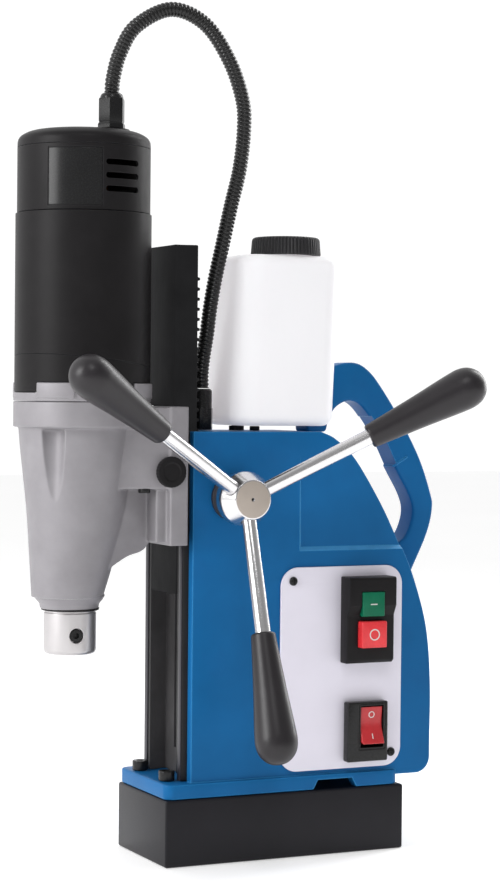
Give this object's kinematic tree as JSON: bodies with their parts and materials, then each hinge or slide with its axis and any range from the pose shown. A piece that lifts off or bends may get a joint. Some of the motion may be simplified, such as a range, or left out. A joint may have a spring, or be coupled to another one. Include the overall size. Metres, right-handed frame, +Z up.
{
  "type": "magnetic drill press",
  "caption": "Portable magnetic drill press with a motor and gearbox on a dovetail slide, a rack feed turned by a spoked capstan, a coolant tank and a carry handle.",
  "frame": {"origin": "centre of the magnet's bottom face", "axes": "+Z up along the spindle feed, -X towards the spindle, -Y towards the capstan and the control panel"},
  "size_m": [0.2923, 0.1605, 0.5327],
  "materials": {
    "base_black": "satin black paint",
    "copper": "enamelled copper winding",
    "resin": "dark potting resin",
    "blue_paint": "semi-gloss blue paint on a casting",
    "black_steel": "blackened ground steel",
    "bronze": "plain bearing bronze",
    "steel": "machined steel",
    "chrome": "bright plated",
    "cast_aluminium": "grey cast and blasted",
    "black_plastic": "fine-grained black moulding",
    "grip_plastic": "satin black grip",
    "panel_white": "satin off-white plate",
    "green_plastic": "glossy green",
    "red_plastic": "glossy red",
    "tank_white": "translucent blow-moulded white",
    "board_green": "circuit board",
    "conduit_black": "ribbed black conduit"
  },
  "bodies": {
    "stand": {"magnet_body": "base_black", "magnet_coil": "copper", "magnet_potting": "resin", "foot_screw_1": "black_steel", "foot_screw_2": "black_steel", "main_housing": "blue_paint", "carry_handle": "blue_paint", "guide_column": "black_steel", "gib_strip": "bronze", "pinion_bush_near": "bronze", "pinion_bush_far": "bronze", "control_panel": "panel_white", "panel_screw_upper": "black_steel", "panel_screw_lower": "black_steel", "motor_switch_body": "black_plastic", "rocker_frame": "black_plastic", "control_board": "board_green", "coolant_tank": "tank_white", "tank_outlet": "black_plastic", "tank_post": "black_plastic", "housing_gland": "black_plastic", "mains_gland": "black_plastic"},
    "carriage": {"slide_rail": "black_steel", "feed_rack": "steel", "gearbox_housing": "cast_aluminium", "gearbox_cover": "cast_aluminium", "motor_field_case": "black_plastic", "motor_brush_case": "black_plastic", "motor_end_cap": "black_plastic", "motor_gland": "black_plastic", "stator": "steel", "brush_holder_front": "bronze", "brush_holder_rear": "bronze", "spindle_bearing_lower": "steel", "spindle_bearing_upper": "steel", "armature_bearing_lower": "steel", "armature_bearing_upper": "steel", "conduit": "conduit_black"},
    "spindle": {"spindle": "steel", "spindle_gear": "steel", "weldon_screw_1": "black_steel", "weldon_screw_2": "black_steel"},
    "lay_shaft": {"lay_shaft": "steel"},
    "armature": {"armature": "steel", "commutator": "copper", "cooling_fan": "black_plastic"},
    "lock_knob": {"lock_knob": "black_plastic"},
    "capstan": {"pinion_shaft": "steel", "capstan_hub": "steel", "spoke_1": "chrome", "spoke_2": "chrome", "spoke_3": "chrome", "grip_1": "grip_plastic", "grip_2": "grip_plastic", "grip_3": "grip_plastic"},
    "start_button": {"start_button": "green_plastic"},
    "stop_button": {"stop_button": "red_plastic"},
    "magnet_rocker": {"magnet_rocker": "red_plastic"},
    "tank_cap": {"tank_cap": "black_plastic"}
  },
  "joints": [
    {"name": "feed_slide", "type": "slide", "parent": "stand", "child": "carriage", "axis": [0, 0, 1], "range_m": [-0.11, 0.015], "deforming": ["conduit"]},
    {"name": "capstan_turn", "type": "hinge", "parent": "stand", "child": "capstan", "pos_m": [-0.0386, 0, 0.2255], "axis": [0, 1, 0], "range_deg": [-526, 72]},
    {"name": "armature_spin", "type": "hinge", "parent": "carriage", "child": "armature", "pos_m": [-0.1241, 0, 0.3], "axis": [0, 0, 1], "continuous": true},
    {"name": "lay_spin", "type": "hinge", "parent": "carriage", "child": "lay_shaft", "pos_m": [-0.11853, 0.02051, 0.27], "axis": [0, 0, 1], "continuous": true},
    {"name": "spindle_spin", "type": "hinge", "parent": "carriage", "child": "spindle", "pos_m": [-0.131, 0, 0.2], "axis": [0, 0, 1], "continuous": true},
    {"name": "lock_knob_turn", "type": "hinge", "parent": "carriage", "child": "lock_knob", "pos_m": [-0.0818, -0.04, 0.2416], "axis": [0, -1, 0], "range_deg": [0, 90]},
    {"name": "start_press", "type": "slide", "parent": "stand", "child": "start_button", "axis": [0, 1, 0], "range_m": [0, 0.003], "stiffness_N_per_m": 300},
    {"name": "stop_press", "type": "slide", "parent": "stand", "child": "stop_button", "axis": [0, 1, 0], "range_m": [0, 0.003], "stiffness_N_per_m": 300},
    {"name": "rocker_tilt", "type": "hinge", "parent": "stand", "child": "magnet_rocker", "pos_m": [0.0565, -0.039, 0.08], "axis": [1, 0, 0], "range_deg": [0, 16]},
    {"name": "cap_turn", "type": "hinge", "parent": "stand", "child": "tank_cap", "pos_m": [0.011, -0.006, 0.3765], "axis": [0, 0, 1], "range_deg": [0, 540]}
  ],
  "couplings": [
    {"joint": "capstan_turn", "follows": "feed_slide", "rad_per_m": 83.333},
    {"joint": "lay_spin", "follows": "armature_spin", "ratio": -0.30769},
    {"joint": "spindle_spin", "follows": "armature_spin", "ratio": 0.10256}
  ]
}
